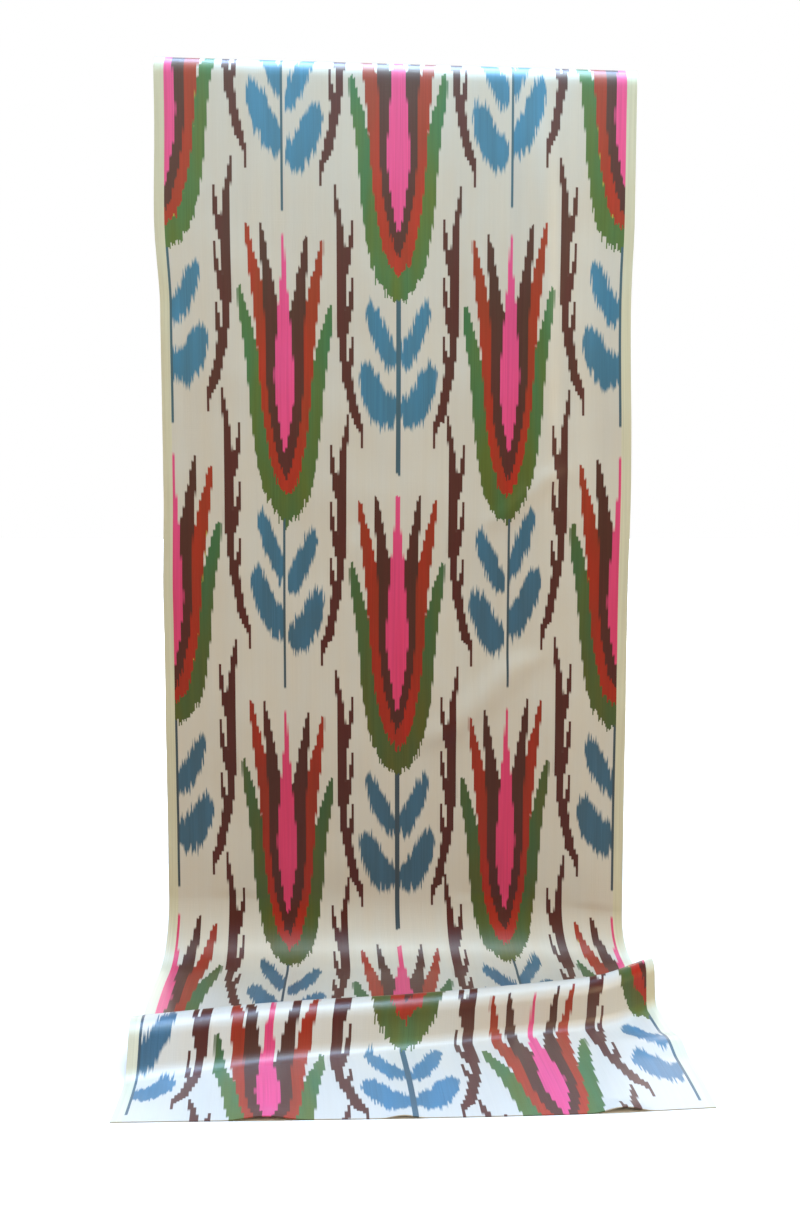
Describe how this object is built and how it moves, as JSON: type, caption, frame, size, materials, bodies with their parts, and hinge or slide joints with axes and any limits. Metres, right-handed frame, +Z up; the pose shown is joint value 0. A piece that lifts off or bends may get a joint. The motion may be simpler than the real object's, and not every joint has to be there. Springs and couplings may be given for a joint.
{
  "type": "ikat woven cloth",
  "caption": "Loom-width ikat cloth with tulip and branch motifs, hung over a support, its foot curving onto the floor in a soft ridge.",
  "frame": {"origin": "underside of the turn over the support, at its top line, midway across the cloth", "axes": "+X along the weft to the viewer's right, +Y away from the viewer, +Z up along the hanging warp"},
  "size_m": [0.4381, 0.3533, 0.8065],
  "materials": {
    "ikat_weave": "warp-faced silk and cotton weave with a soft sheen, undyed cream between bound-and-dyed motifs"
  },
  "bodies": {
    "root": {"ikat_cloth": "ikat_weave"}
  },
  "joints": []
}
